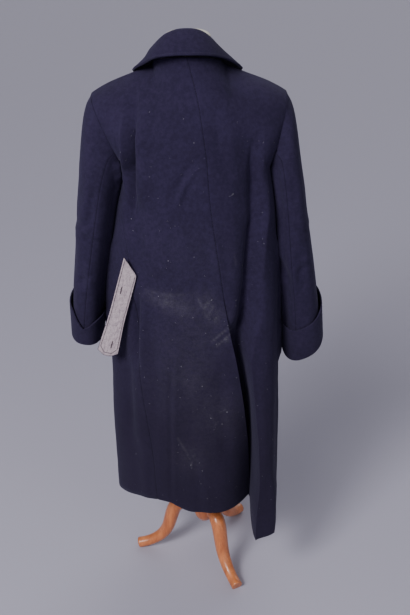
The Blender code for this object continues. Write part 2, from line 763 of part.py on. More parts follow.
stand_rows = []
for row in range(STAND_ROWS + 1):
    up = 1 - row / STAND_ROWS
    points = []
    for turn in np.linspace(-COLLAR_END, COLLAR_END, COLLAR_COLUMNS + 1):
        inside = collar_value("roll", turn) - COLLAR_CLOTH - ROLL_GAP
        top = collar_ring(inside, collar_value("roll_z", turn) - COLLAR_CLOTH - ROLL_GAP, turn)
        forward = eased((abs(turn) - STAND_LIFT_FROM) / STAND_LIFT_RUN)
        lift = STAND_LIFT + (STAND_FRONT_LIFT - STAND_LIFT) * forward
        foot = neckline(turn) + np.array([0.0, 0.0, lift])
        points.append(foot + up * (top - foot))
    stand_rows.append(points)
finish(cloth("collar_stand", np.array(stand_rows), COLLAR_CLOTH, True), parts, frame, NAVY)

fall_rows = []
for row in range(FALL_ROWS + 2):
    points = []
    for turn in np.linspace(-COLLAR_END, COLLAR_END, COLLAR_COLUMNS + 1):
        roll = collar_value("roll", turn)
        down = max(0.0, (row - 1) / FALL_ROWS)
        radius = roll + down * (collar_value("leaf", turn) - roll) + FALL_BOW * math.sin(math.pi * down)
        roll_z = collar_value("roll_z", turn)
        height = roll_z + down * (collar_value("leaf_z", turn) - roll_z)
        if row == 0:
            radius = roll - 2 * COLLAR_CLOTH
        points.append(collar_ring(radius, height, turn))
    fall_rows.append(points)
finish(cloth("collar_fall", np.array(fall_rows), COLLAR_CLOTH, True), parts, frame, NAVY)

# Half-belt with its lining.
BELT_COLUMNS = 6
BELT_ROWS = 9


def belt_grid(inset, forward):
    """Rows across the hanging half-belt from its diagonal fold to its cut end."""
    lean = math.radians(BELT_LEAN)
    down_way = np.array([-math.sin(lean), 0.0, -math.cos(lean)])
    across_way = np.array([math.cos(lean), 0.0, -math.sin(lean)])
    rows = []
    for row in range(BELT_ROWS + 1):
        share = row / BELT_ROWS
        points = []
        for column in range(BELT_COLUMNS + 1):
            side = 2 * column / BELT_COLUMNS - 1
            flare = eased((share - BELT_FLARE_FROM) / (1 - BELT_FLARE_FROM))
            half = BELT_HALF + (BELT_END_HALF - BELT_HALF) * flare - inset
            first = side * BELT_HALF * BELT_SLOPE + inset
            corner = max(0.0, (abs(side) - BELT_CORNER_FROM) / (1 - BELT_CORNER_FROM))
            last = BELT_LENGTH - inset - BELT_CORNER * corner
            length = first + share * (last - first)
            depth = BELT_Y_TOP + (BELT_Y_BOTTOM - BELT_Y_TOP) * share - forward
            point = np.array([BELT_TOP_X, depth, BELT_TOP_Z]) + down_way * length + across_way * half * side
            points.append(point)
        rows.append(points)
    return np.array(rows)


finish(cloth("half_belt", belt_grid(0.0, 0.0), BELT_CLOTH, True), parts, frame, NAVY)
lining = cloth("half_belt_lining", belt_grid(LINING_INSET, LINING + LINING_GAP), LINING, True)
finish(lining, parts, frame, BEIGE)

# Buttons on the left front's edge.
front_grid = panel_grids["front_left"]
for number in range(BUTTON_COUNT):
    row = BUTTON_TOP_ROW + BUTTON_ROW_STEP * number
    seat = front_grid[row, BUTTON_COLUMN]
    across_way = front_grid[row, BUTTON_COLUMN - 1] - front_grid[row, BUTTON_COLUMN + 1]
    up_way = front_grid[row - 1, BUTTON_COLUMN] - front_grid[row + 1, BUTTON_COLUMN]
    facing = Vector(np.cross(up_way, across_way)).normalized()
    profile = [(row.radius * BUTTON_RADIUS, row.height * BUTTON_THICK) for row in BUTTON]
    button = turned_object(f"front_button_{number + 1}", profile, BUTTON_SIDES)
    button.rotation_euler = facing.to_track_quat("Z", "Y").to_euler()
    button.location = Vector(seat) + facing * BUTTON_GAP
    finish(button, parts, frame, HORN)

# Dress form.
FORM_SIDES = 28
FORM_SQUARE = 2.2


def form_ring(z):
    turns = np.arange(FORM_SIDES) * 2 * math.pi / FORM_SIDES
    power = 2 / FORM_SQUARE
    across = np.sign(np.sin(turns)) * np.abs(np.sin(turns)) ** power
    back = np.sign(np.cos(turns)) * np.abs(np.cos(turns)) ** power
    x = along(FORM, "middle", z) + along(FORM, "half_width", z) * across
    y = along(FORM, "middle_y", z) - along(FORM, "half_depth", z) * back
    return np.stack([x, y, np.full_like(x, z)], axis=1)


torso = rings_object("form_torso", [form_ring(row.z) for row in FORM])
finish(torso, parts, frame, FORM_COVER)

neck = FORM[-1]
cap_rings = []
for up in np.linspace(0.0, 1.0, CAP_RINGS):
    ring = form_ring(neck.z)
    middle = np.array([neck.middle, neck.middle_y, neck.z])
    size = math.cos(up * math.radians(CAP_ROUND))
    lift = np.array([0.0, 0.0, CAP_GAP + CAP_HEIGHT * math.sin(up * math.pi / 2)])
    cap_rings.append(middle + (ring - middle) * size + lift)
finish(rings_object("form_neck_cap", cap_rings), parts, frame, CREAM)

# Pole, hub and legs.
pole_top = FORM[0].z - POLE_GAP
pole_foot = HUB[0].z + POLE_GAP
pole_profile = ((0.0, pole_top), (POLE_RADIUS, pole_top), (POLE_RADIUS, pole_foot), (0.0, pole_foot))
finish(turned_object("stand_pole", pole_profile, POLE_SIDES), parts, frame, WOOD)
finish(turned_object("stand_hub", HUB, HUB_SIDES), parts, frame, WOOD)

LEG_SIDES = 12
LEG_RINGS = 16
for number in range(LEG_COUNT):
    turn = math.radians(LEG_FIRST_TURN + 360 / LEG_COUNT * number)
    out = np.array([math.sin(turn), -math.cos(turn), 0.0])
    sideways = np.array([math.cos(turn), math.sin(turn), 0.0])
    rings = []
    for at in np.linspace(0.0, 1.0, LEG_RINGS + 1):
        ahead = min(1.0, at + LEG_STEP)
        behind = max(0.0, at - LEG_STEP)
        run = along(LEG, "reach", ahead) - along(LEG, "reach", behind)
        rise = along(LEG, "z", ahead) - along(LEG, "z", behind)
        size = math.hypot(run, rise)
        across_way = out * (-rise / size) + np.array([0.0, 0.0, run / size])
        middle = out * along(LEG, "reach", at) + np.array([0.0, 0.0, along(LEG, "z", at)])
        ring = []
        for angle in np.arange(LEG_SIDES) * 2 * math.pi / LEG_SIDES:
            spoke = math.cos(angle) * across_way + math.sin(angle) * sideways
            point = middle + along(LEG, "radius", at) * spoke
            point[2] = max(0.0, point[2])
            ring.append(point)
        rings.append(np.array(ring))
    finish(rings_object(f"stand_leg_{number + 1}", rings), parts, frame, WOOD)
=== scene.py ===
"""Looks of a navy wool greatcoat on a dress form, seen from its back."""
import math
from collections import namedtuple

import bmesh
import bpy
import numpy as np
from mathutils import Matrix, Vector, noise
from mathutils.bvhtree import BVHTree


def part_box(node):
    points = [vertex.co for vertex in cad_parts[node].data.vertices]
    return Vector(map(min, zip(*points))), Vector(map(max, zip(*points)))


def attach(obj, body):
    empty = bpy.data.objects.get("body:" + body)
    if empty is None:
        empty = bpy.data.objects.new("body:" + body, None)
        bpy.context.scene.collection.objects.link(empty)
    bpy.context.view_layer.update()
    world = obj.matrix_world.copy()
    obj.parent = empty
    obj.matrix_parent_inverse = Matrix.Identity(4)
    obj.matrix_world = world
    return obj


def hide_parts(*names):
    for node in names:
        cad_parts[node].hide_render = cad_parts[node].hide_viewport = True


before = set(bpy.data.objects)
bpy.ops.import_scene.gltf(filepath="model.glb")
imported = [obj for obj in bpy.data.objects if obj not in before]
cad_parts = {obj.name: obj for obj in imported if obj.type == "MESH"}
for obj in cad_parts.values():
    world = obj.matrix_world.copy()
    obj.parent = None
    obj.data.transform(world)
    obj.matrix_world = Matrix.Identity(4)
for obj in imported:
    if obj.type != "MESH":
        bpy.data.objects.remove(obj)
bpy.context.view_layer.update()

# Stand: three bent legs, a hub and a pole of varnished beech.
# The legs are let into the hub, and the pole stands in it and carries the form.
WELD = 0.00002
FLAT_QUAD = math.radians(60)
ANY_SHAPE = math.radians(180)
KEEP_GRID = 2.0
SHARP = math.radians(48)
MIX_SHARE = 0
MIX_FIRST = 6
MIX_SECOND = 7
MIX_COLOR = 2


class Shade:
    """A socket in a node tree: arithmetic on it adds Math nodes."""

    def __init__(self, tree, socket=None):
        self.tree = tree
        self.socket = socket

    def add(self, kind, sockets=(), out=0, stops=(), **settings):
        """Another node: settings first, then colour stops, then values or links by socket."""
        node = self.tree.nodes.new(kind)
        for name, value in settings.items():
            setattr(node, name, value)
        for place, (where, color) in enumerate(stops):
            ramp = node.color_ramp.elements
            stop = ramp[place] if place < len(ramp) else ramp.new(where)
            stop.position = where
            stop.color = (*color, 1.0)
        for key, value in dict(sockets).items():
            if isinstance(value, Shade):
                self.tree.links.new(value.socket, node.inputs[key])
            else:
                node.inputs[key].default_value = value
        return Shade(self.tree, node.outputs[out])

    def maths(self, operation, *values):
        return self.add("ShaderNodeMath", dict(enumerate(values)), operation=operation)

    def __add__(self, other):
        return self.maths("ADD", self, other)

    def __sub__(self, other):
        return self.maths("SUBTRACT", self, other)

    def __rsub__(self, other):
        return self.maths("SUBTRACT", other, self)

    def __mul__(self, other):
        return self.maths("MULTIPLY", self, other)

    def __truediv__(self, other):
        return self.maths("DIVIDE", self, other)

    def __rtruediv__(self, other):
        return self.maths("DIVIDE", other, self)

    __radd__ = __add__
    __rmul__ = __mul__

    def within(self, low, high):
        """0 below low, 1 above high, eased between."""
        sockets = {"Value": self, "From Min": low, "From Max": high}
        return self.add("ShaderNodeMapRange", sockets, interpolation_type="SMOOTHSTEP")

    def mixed(self, first, second):
        """A colour between two, by this share."""
        sockets = {MIX_SHARE: self, MIX_FIRST: first, MIX_SECOND: second}
        return self.add("ShaderNodeMix", sockets, out=MIX_COLOR, data_type="RGBA")

    def bump(self, strength, distance, normal=None):
        sockets = {"Height": self, "Strength": strength, "Distance": distance}
        if normal:
            sockets["Normal"] = normal
        return self.add("ShaderNodeBump", sockets)

    def noise(self, scale, detail=2.0, roughness=0.5, stretch=(1.0, 1.0, 1.0)):
        """A noise over these coordinates."""
        place = self.add("ShaderNodeMapping", {"Vector": self, "Scale": stretch})
        sockets = {"Vector": place, "Scale": scale, "Detail": detail, "Roughness": roughness}
        return self.add("ShaderNodeTexNoise", sockets)

    def feed(self, shader, name):
        self.tree.links.new(self.socket, shader.inputs[name])


def surface(name, **constants):
    """A material with one Principled shader, and a start for its maths."""
    material = bpy.data.materials.new(name)
    material.use_nodes = True
    shader = material.node_tree.nodes["Principled BSDF"]
    for socket, value in constants.items():
        shader.inputs[socket.replace("_", " ")].default_value = value
    return material, Shade(material.node_tree), shader


def shown(obj, slot, *nodes):
    """A finished piece on the part's one body, in the place of its nodes."""
    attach(obj, "root")
    if nodes:
        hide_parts(*nodes)
    return obj


def settled(obj):
    """The object with what its modifiers make as its own mesh."""
    depsgraph = bpy.context.evaluated_depsgraph_get()
    mesh = bpy.data.meshes.new_from_object(obj.evaluated_get(depsgraph))
    obj.modifiers.clear()
    obj.data = mesh
    return obj


def fine_copy(node, name, levels, material):
    """A smooth copy of a node: triangles joined to quads, then subdivided with its edges kept."""
    form = bmesh.new()
    form.from_mesh(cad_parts[node].data)
    bmesh.ops.remove_doubles(form, verts=form.verts, dist=WELD)
    bmesh.ops.join_triangles(
        form,
        faces=form.faces,
        angle_face_threshold=FLAT_QUAD,
        angle_shape_threshold=ANY_SHAPE,
        topology_influence=KEEP_GRID,
    )
    crease = form.edges.layers.float.new("crease_edge")
    for edge in form.edges:
        if edge.calc_face_angle(0.0) > SHARP:
            edge[crease] = 1.0
    mesh = bpy.data.meshes.new(name)
    form.to_mesh(mesh)
    form.free()
    obj = bpy.data.objects.new(name, mesh)
    bpy.context.scene.collection.objects.link(obj)
    smooth = obj.modifiers.new("smooth", "SUBSURF")
    smooth.levels = levels
    smooth.render_levels = levels
    settled(obj)
    obj.data.materials.clear()
    obj.data.materials.append(material)
    obj.data.shade_smooth()
    obj.data.set_sharp_from_angle(angle=SHARP)
    return obj


WOOD_DARK = (0.40, 0.108, 0.034, 1.0)
WOOD_LIGHT = (0.70, 0.230, 0.080, 1.0)
# Noises, here and below: scale, detail, roughness and stretch.
GRAIN = (60.0, 4.0, 0.6, (1.0, 1.0, 0.16))
FLECKS = (420.0, 2.0, 0.5, (1.0, 1.0, 0.10))
FLECKS_SHARE = 0.25
GRAIN_RANGE = (0.25, 0.75)
WOOD_LEVELS = 2
STAND_NODES = ("stand_leg_1", "stand_leg_2", "stand_leg_3", "stand_hub", "stand_pole")
varnished, shade, shader = surface(
    "varnished_beech", Roughness=0.38, Coat_Weight=0.4, Coat_Roughness=0.12, IOR=1.5
)
place = shade.add("ShaderNodeTexCoord", out="Object")
tone = place.noise(*GRAIN) * (1 - FLECKS_SHARE) + place.noise(*FLECKS) * FLECKS_SHARE
tone.within(*GRAIN_RANGE).mixed(WOOD_DARK, WOOD_LIGHT).feed(shader, "Base Color")
for node in STAND_NODES:
    shown(fine_copy(node, f"{node}_wood", WOOD_LEVELS, varnished), "varnished_wood", node)

# Dress form: a padded torso in plain linen with a cream cap on its neck.
# It is slid onto the pole and hidden by the coat but for the cap.
LINEN = (0.34, 0.31, 0.27, 1.0)
LINEN_SHADE = (0.27, 0.245, 0.21, 1.0)
CREAM = (0.72, 0.68, 0.60, 1.0)
LINEN_CLOUDS = (26.0, 3.0)
LINEN_RANGE = (0.3, 0.7)
LINEN_THREADS = (900.0, 2.0)
# Bumps, here and below: strength and distance.
LINEN_BUMP = (0.25, 0.0006)
FORM_LEVELS = 2
linen, shade, shader = surface("form_linen", Roughness=0.9)
place = shade.add("ShaderNodeTexCoord", out="Object")
clouds = place.noise(*LINEN_CLOUDS).within(*LINEN_RANGE)
clouds.mixed(LINEN_SHADE, LINEN).feed(shader, "Base Color")
place.noise(*LINEN_THREADS).bump(*LINEN_BUMP).feed(shader, "Normal")
cap_cloth = surface("form_cap_cloth", Base_Color=CREAM, Roughness=0.75)[0]
form = shown(fine_copy("form_torso", "form_torso_linen", FORM_LEVELS, linen), "form_cover", "form_torso")
cap = fine_copy("form_neck_cap", "form_neck_cap_cloth", FORM_LEVELS, cap_cloth)
shown(cap, "form_cap", "form_neck_cap")

# Half backs: heavy navy wool, sewn down the middle to the vent, the left half lying over the right.
# They hang from the shoulders in soft folds, and the seat is marked with chalky dust.
NAVY_DEEP = (0.0148, 0.0106, 0.0320, 1.0)
NAVY_WORN = (0.0255, 0.0185, 0.0520, 1.0)
# Painted shade: the wool is darkened towards the bottom, fully below the first height and fading out by the
# second.
LOW_PAINTED_SHADE = (0.0120, 0.0085, 0.0190, 1.0)
LOW_SHADE_RUN = (0.40, 0.95)
LOW_SHADE_SHARE = 0.62
DUST = (0.215, 0.205, 0.225, 1.0)
NAP = (0.50, 0.48, 0.80, 1.0)
DUST_COVER = 0.30
DUST_EVEN = 0.25
DUST_GRAINS = (300.0, 4.0, 0.7)
GRAINS_RANGE = (0.36, 0.72)
GRAINS_SHARE = 0.9
DUST_DRIFTS = (60.0, 4.0, 0.65, (1.0, 1.0, 1.4))
DRIFTS_RANGE = (0.30, 0.70)
DRIFTS_SHARE = 0.6
WEAR_BROAD = (9.0, 4.0, 0.6)
WEAR_BROAD_SHARE = 0.4
WEAR_FINE = (110.0, 4.0, 0.7)
WEAR_RANGE = (0.34, 0.68)
HAIRS = (520.0, 3.0, 0.65)
HAIRS_BUMP = (0.45, 0.0016)
FELTING = (1500.0, 2.0, 0.6)
FELTING_BUMP = (0.35, 0.0006)
# Painted shade in the seams: the wool is darkened along each seam by the seam value.
SEAM_SHADE = (0.0030, 0.0024, 0.0060, 1.0)
SEAM_DARK = 0.72
wool, shade, shader = surface(
    "navy_wool_nap",
    Roughness=0.95,
    Specular_IOR_Level=0.15,
    Sheen_Weight=0.07,
    Sheen_Roughness=0.55,
    Sheen_Tint=NAP,
)
cloth_uv = shade.add("ShaderNodeUVMap", uv_map="cloth")
place = shade.add("ShaderNodeTexCoord", out="Object")
dusty = shade.add("ShaderNodeAttribute", out="Fac", attribute_name="dust")
worn = place.noise(*WEAR_BROAD) * WEAR_BROAD_SHARE + place.noise(*WEAR_FINE) * (1 - WEAR_BROAD_SHARE)
clean_color = worn.within(*WEAR_RANGE).mixed(NAVY_DEEP, NAVY_WORN)
height = place.add("ShaderNodeSeparateXYZ", {"Vector": place}, out="Z")
# Painted shade darkens the lower part of the coat.
cloth_color = ((1 - height.within(*LOW_SHADE_RUN)) * LOW_SHADE_SHARE).mixed(clean_color, LOW_PAINTED_SHADE)
grains = place.noise(*DUST_GRAINS).within(*GRAINS_RANGE)
drifts = place.noise(*DUST_DRIFTS).within(*DRIFTS_RANGE)
chalk = dusty * (DUST_EVEN + grains * GRAINS_SHARE + drifts * DRIFTS_SHARE) * DUST_COVER
dusted_color = chalk.mixed(cloth_color, DUST)
seamed = shade.add("ShaderNodeAttribute", out="Fac", attribute_name="seam")
(seamed * SEAM_DARK).mixed(dusted_color, SEAM_SHADE).feed(shader, "Base Color")
hairs = cloth_uv.noise(*HAIRS).bump(*HAIRS_BUMP)
cloth_uv.noise(*FELTING).bump(*FELTING_BUMP, hairs).feed(shader, "Normal")

PANEL_NODES = ("back_left", "back_right", "front_left", "front_right")
corners = [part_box(node) for node in PANEL_NODES]
body_low = np.min([low for low, high in corners], axis=0)
body_high = np.max([high for low, high in corners], axis=0)
BODY_MIDDLE = (body_low + body_high) / 2
BODY_REACH = (body_high - body_low) / 2
UV_RADIUS = 0.19

# x and z of a crease's ends on the back or front, how far it bows, its half width and its depth;
# a roll has a depth below zero. Ridge is the share of the depth that rises beside it, on its sign's side.
Crease = namedtuple("Crease", "x_top z_top x_bottom z_bottom bow width depth ridge")
BACK_CREASES = (
    Crease(-0.133, 1.385, -0.131, 1.290, 0.000, 0.009, 0.0070, -0.5),
    Crease(-0.133, 1.290, -0.137, 1.215, -0.001, 0.006, 0.0120, 0.0),
    Crease(-0.137, 1.215, -0.145, 1.140, -0.002, 0.006, 0.0130, 0.0),
    Crease(-0.145, 1.140, -0.160, 1.065, 0.000, 0.009, 0.0100, 0.0),
    Crease(-0.153, 1.310, -0.157, 1.150, 0.000, 0.010, -0.0140, 0.0),
    Crease(-0.121, 1.310, -0.123, 1.130, -0.001, 0.013, -0.0120, 0.0),
    Crease(0.146, 1.265, 0.143, 1.080, 0.002, 0.014, 0.0120, 0.5),
    Crease(0.143, 1.080, 0.130, 0.925, 0.002, 0.013, 0.0160, 0.5),
    Crease(0.130, 0.925, 0.112, 0.770, 0.002, 0.013, 0.0150, 0.4),
    Crease(0.006, 1.231, -0.051, 1.143, 0.004, 0.010, 0.0044, 0.5),
    Crease(0.010, 1.203, -0.028, 1.123, 0.003, 0.008, 0.0034, -0.4),
    Crease(-0.067, 0.694, -0.079, 0.303, 0.002, 0.007, 0.0032, 0.6),
    Crease(-0.178, 0.710, -0.190, 0.460, 0.002, 0.016, 0.0080, 0.4),
    Crease(-0.136, 1.060, -0.141, 0.990, -0.003, 0.011, 0.0040, 0.6),
    Crease(-0.148, 0.880, -0.158, 0.700, 0.003, 0.011, 0.0130, 0.5),
    Crease(0.000, 0.935, 0.002, 0.860, 0.002, 0.008, 0.0022, 0.5),
    Crease(0.052, 1.330, 0.086, 1.170, 0.004, 0.016, 0.0030, 0.4),
    Crease(-0.086, 1.330, -0.104, 1.230, -0.004, 0.014, 0.0026, -0.4),
    Crease(0.076, 1.080, 0.092, 0.880, 0.005, 0.018, 0.0034, -0.5),
    Crease(0.020, 1.060, 0.034, 0.955, -0.003, 0.012, 0.0022, 0.4),
    Crease(-0.060, 1.060, -0.046, 0.930, 0.003, 0.013, 0.0026, -0.5),
    Crease(-0.110, 0.800, -0.116, 0.560, -0.004, 0.016, 0.0040, 0.4),
    Crease(-0.030, 0.760, -0.022, 0.470, 0.005, 0.020, 0.0036, -0.5),
    Crease(0.060, 0.690, 0.070, 0.430, 0.004, 0.016, 0.0034, 0.5),
    Crease(-0.120, 0.520, -0.132, 0.300, 0.002, 0.013, 0.0036, -0.4),
    Crease(-0.010, 0.420, 0.000, 0.262, 0.002, 0.013, 0.0032, 0.5),
    Crease(0.150, 0.760, 0.154, 0.420, 0.004, 0.012, 0.0034, 0.5),
)
FRONT_CREASES = (
    Crease(-0.120, 1.250, -0.090, 1.110, 0.004, 0.014, 0.0030, 0.5),
    Crease(0.110, 1.240, 0.092, 1.080, -0.004, 0.013, 0.0030, -0.5),
    Crease(-0.150, 1.060, -0.152, 0.860, 0.004, 0.016, 0.0036, 0.4),
    Crease(0.130, 1.020, 0.140, 0.790, -0.004, 0.016, 0.0034, 0.5),
    Crease(-0.090, 0.840, -0.104, 0.540, 0.005, 0.018, 0.0034, -0.4),
    Crease(0.070, 0.860, 0.086, 0.560, 0.004, 0.016, 0.0030, 0.4),
    Crease(0.150, 0.620, 0.158, 0.330, 0.003, 0.014, 0.0034, -0.5),
    Crease(-0.160, 0.640, -0.172, 0.320, 0.003, 0.015, 0.0034, 0.5),
    Crease(0.020, 0.520, 0.028, 0.280, 0.002, 0.012, 0.0026, 0.5),
)
CREASE_ENDS = 0.22
RIDGE_AWAY = 1.8


def eased(share):
    share = np.clip(share, 0.0, 1.0)
    return share * share * (3 - 2 * share)


def creased(points, creases):
    """Depth of the listed creases at points, in x and z alone."""
    depth = np.zeros(len(points))
    for crease in creases:
        run = np.array([crease.x_bottom - crease.x_top, crease.z_bottom - crease.z_top])
        length = np.hypot(*run)
        off = points[:, [0, 2]] - np.array([crease.x_top, crease.z_top])
        along = off @ run / length ** 2
        beside = (off[:, 1] * run[0] - off[:, 0] * run[1]) / length
        beside += 4 * crease.bow * along * (1 - along)
        ends = eased((along + CREASE_ENDS) / (2 * CREASE_ENDS))
        ends *= eased((1 + CREASE_ENDS - along) / (2 * CREASE_ENDS))
        trough = np.exp(-(beside / crease.width) ** 2)
        aside = beside - math.copysign(RIDGE_AWAY * crease.width, crease.ridge)
        rise = abs(crease.ridge) * np.exp(-(aside / crease.width) ** 2)
        depth += crease.depth * ends * (rise - trough)
    return depth


def wavering(points, size, seed):
    """Smooth unevenness between -1 and 1 that changes over about this size."""
    shift = Vector((seed, 2.0 * seed, 3.0 * seed))
    return np.array([noise.noise(Vector(point) / size + shift) for point in points])


def points_of(obj):
    flat = np.empty(len(obj.data.vertices) * 3)
    obj.data.vertices.foreach_get("co", flat)
    return flat.reshape(-1, 3)


def normals_of(obj):
    flat = np.empty(len(obj.data.vertices) * 3)
    obj.data.vertex_normals.foreach_get("vector", flat)
    return flat.reshape(-1, 3)


def moved(obj, points):
    obj.data.vertices.foreach_set("co", points.ravel())
    obj.data.update()


def cloth_uvs(obj, around, up):
    """A UV map in metres, from each vertex's place round and up the garment."""
    layer = obj.data.uv_layers.new(name="cloth")
    corner = np.empty(len(obj.data.loops), dtype=np.int32)
    obj.data.loops.foreach_get("vertex_index", corner)
    layer.data.foreach_set("uv", np.stack([around[corner], up[corner]], axis=1).ravel())


def painted(obj, name, values):
    """A value at each vertex that the material reads."""
    layer = obj.data.attributes.new(name, "FLOAT", "POINT")
    layer.data.foreach_set("value", values)


# Dusty patches: middle, reach across and up, and strength.
Smear = namedtuple("Smear", "x z across up strength")
SMEARS = (
    Smear(-0.100, 0.894, 0.030, 0.018, 0.20),
    Smear(-0.066, 0.878, 0.030, 0.024, 0.26),
    Smear(-0.030, 0.866, 0.030, 0.030, 0.20),
    Smear(0.022, 0.880, 0.024, 0.030, 0.24),
    Smear(0.050, 0.846, 0.024, 0.026, 0.20),
    Smear(0.073, 0.777, 0.007, 0.006, 0.50),
    Smear(0.020, 0.790, 0.060, 0.060, 0.09),
    Smear(-0.040, 0.760, 0.090, 0.110, 0.08),
    Smear(-0.010, 0.670, 0.050, 0.050, 0.11),
    Smear(0.050, 0.560, 0.060, 0.070, 0.14),
    Smear(-0.020, 0.430, 0.045, 0.050, 0.14),
    Smear(-0.060, 0.620, 0.080, 0.120, 0.06),
    Smear(0.000, 0.990, 0.120, 0.080, 0.05),
)
# Rubbed marks: ends, half width and strength.
Rub = namedtuple("Rub", "x_from z_from x_to z_to width strength")
RUBS = (
    Rub(-0.122, 0.908, -0.063, 0.901, 0.0045, 0.14),
    Rub(-0.063, 0.901, 0.000, 0.906, 0.0045, 0.12),
    Rub(0.006, 0.890, 0.012, 0.872, 0.0026, 0.32),
    Rub(0.018, 0.866, 0.034, 0.884, 0.0024, 0.40),
    Rub(0.030, 0.845, 0.041, 0.868, 0.0026, 0.34),
    Rub(0.050, 0.842, 0.044, 0.828, 0.0026, 0.34),
    Rub(0.024, 0.846, 0.031, 0.834, 0.0024, 0.28),
    Rub(0.037, 0.773, 0.079, 0.811, 0.0023, 0.60),
    Rub(0.050, 0.762, 0.086, 0.796, 0.0023, 0.46),
    Rub(-0.055, 0.491, -0.030, 0.440, 0.0024, 0.26),
    Rub(-0.026, 0.428, -0.012, 0.438, 0.0022, 0.36),
    Rub(-0.020, 0.420, -0.022, 0.404, 0.0022, 0.34),
    Rub(0.030, 0.560, 0.040, 0.546, 0.0024, 0.28),
    Rub(0.058, 0.566, 0.070, 0.572, 0.0024, 0.30),
    Rub(0.044, 0.532, 0.052, 0.540, 0.0022, 0.28),
    Rub(-0.104, 0.872, -0.060, 0.884, 0.0035, 0.16),
    Rub(-0.082, 0.868, -0.070, 0.894, 0.0026, 0.20),
    Rub(0.094, 1.000, 0.098, 0.975, 0.0026, 0.22),
)
DUST_ALL_OVER = 0.02


def dusted(points):
    """Share of dust at points of the body: patches and marks on the back, a little everywhere."""
    share = np.zeros(len(points))
    for smear in SMEARS:
        away = ((points[:, 0] - smear.x) / smear.across) ** 2 + ((points[:, 2] - smear.z) / smear.up) ** 2
        share += smear.strength * np.exp(-away)
    for rub in RUBS:
        run = np.array([rub.x_to - rub.x_from, rub.z_to - rub.z_from])
        off = points[:, [0, 2]] - np.array([rub.x_from, rub.z_from])
        along = np.clip(off @ run / (run @ run), 0.0, 1.0)
        away = np.linalg.norm(off - along[:, None] * run, axis=1) / rub.width
        share += rub.strength * np.exp(-away ** 2)
    return np.clip(DUST_ALL_OVER + share * (points[:, 1] < BODY_MIDDLE[1]), 0.0, 1.0)


WAVER_DEPTH = 0.0016
WAVER_SIZE = 0.085
WAVER_SEED = 3.1
RIPPLE_DEPTH = 0.0005
RIPPLE_SIZE = 0.030
RIPPLE_SEED = 7.7
SIDE_BLEND = 0.03
SHOULDER_QUIET = 1.37
QUIET_RUN = 0.07
ARM_QUIET = 0.160
ARM_QUIET_RUN = 0.016
ARM_LEVEL = 1.15
BELT_QUIET = (-0.172, 0.945)
BELT_QUIET_REACH = 0.075
BELT_QUIET_RUN = BELT_QUIET_REACH / 2
FORM_GAP = 0.0008
OUTER_GAP = 0.0034
REST_REACH = 0.02


def tree_of(obj):
    """Search tree over a finished piece's faces."""
    return BVHTree.FromObject(obj, bpy.context.evaluated_depsgraph_get())


def body_cloth(obj):
    """Creases, unevenness, weave map and dust of a body panel, alike on both sides of each seam."""
    points = points_of(obj)
    away = points - BODY_MIDDLE
    outward = away[:, :2] / BODY_REACH[:2] ** 2
    outward /= np.linalg.norm(outward, axis=1, keepdims=True)
    behind = eased(0.5 - away[:, 1] / (2 * SIDE_BLEND))
    depth = behind * creased(points, BACK_CREASES) + (1 - behind) * creased(points, FRONT_CREASES)
    depth += WAVER_DEPTH * wavering(points, WAVER_SIZE, WAVER_SEED)
    depth += RIPPLE_DEPTH * wavering(points, RIPPLE_SIZE, RIPPLE_SEED)
    depth *= eased((SHOULDER_QUIET + QUIET_RUN - points[:, 2]) / QUIET_RUN)
    near_arm = eased((np.abs(away[:, 0]) - ARM_QUIET) / ARM_QUIET_RUN)
    depth *= 1 - near_arm * eased((points[:, 2] - ARM_LEVEL) / QUIET_RUN + 0.5)
    belt_away = np.hypot(points[:, 0] - BELT_QUIET[0], points[:, 2] - BELT_QUIET[1])
    depth *= 1 - behind * eased((BELT_QUIET_REACH - belt_away) / BELT_QUIET_RUN)
    cloth_uvs(obj, UV_RADIUS * np.arctan2(away[:, 0], -away[:, 1]), points[:, 2])
    painted(obj, "dust", dusted(points))
    outer = np.sum(normals_of(obj)[:, :2] * outward, axis=1) > 0
    points[:, :2] += depth[:, None] * outward
    for place, point in enumerate(points.tolist()):
        spot, normal = form_tree.find_nearest(point, REST_REACH)[:2]
        if spot is not None:
            least = OUTER_GAP if outer[place] else FORM_GAP
            inside = least - (Vector(point) - spot).dot(normal)
            if inside > 0.0:
                points[place] += inside * np.array(normal)
    moved(obj, points)
    return obj


def hung_panels(cuts, levels):
    """Body panels by their cuts, dressed and resting on the form."""
    for node, (flat, area) in cuts.items():
        panels[node] = shown(body_cloth(fine_copy(node, f"{node}_wool", levels, wool)), "navy_wool", node)


# Cuts: widest, longest and flat area of each piece.
BACK_CUTS = {"back_left": ((0.34, 1.24), 0.3125), "back_right": ((0.34, 1.24), 0.3132)}
BACK_LEVELS = 3
form_tree = tree_of(form)
panels = {}
hung_panels(BACK_CUTS, BACK_LEVELS)

# Fronts: the same wool, sewn to the half backs at the shoulders and sides.
# They meet in a button fastening and hang plainly.
FRONT_CUTS = {"front_left": ((0.50, 1.22), 0.4309), "front_right": ((0.58, 1.22), 0.5208)}
FRONT_LEVELS = 2
hung_panels(FRONT_CUTS, FRONT_LEVELS)

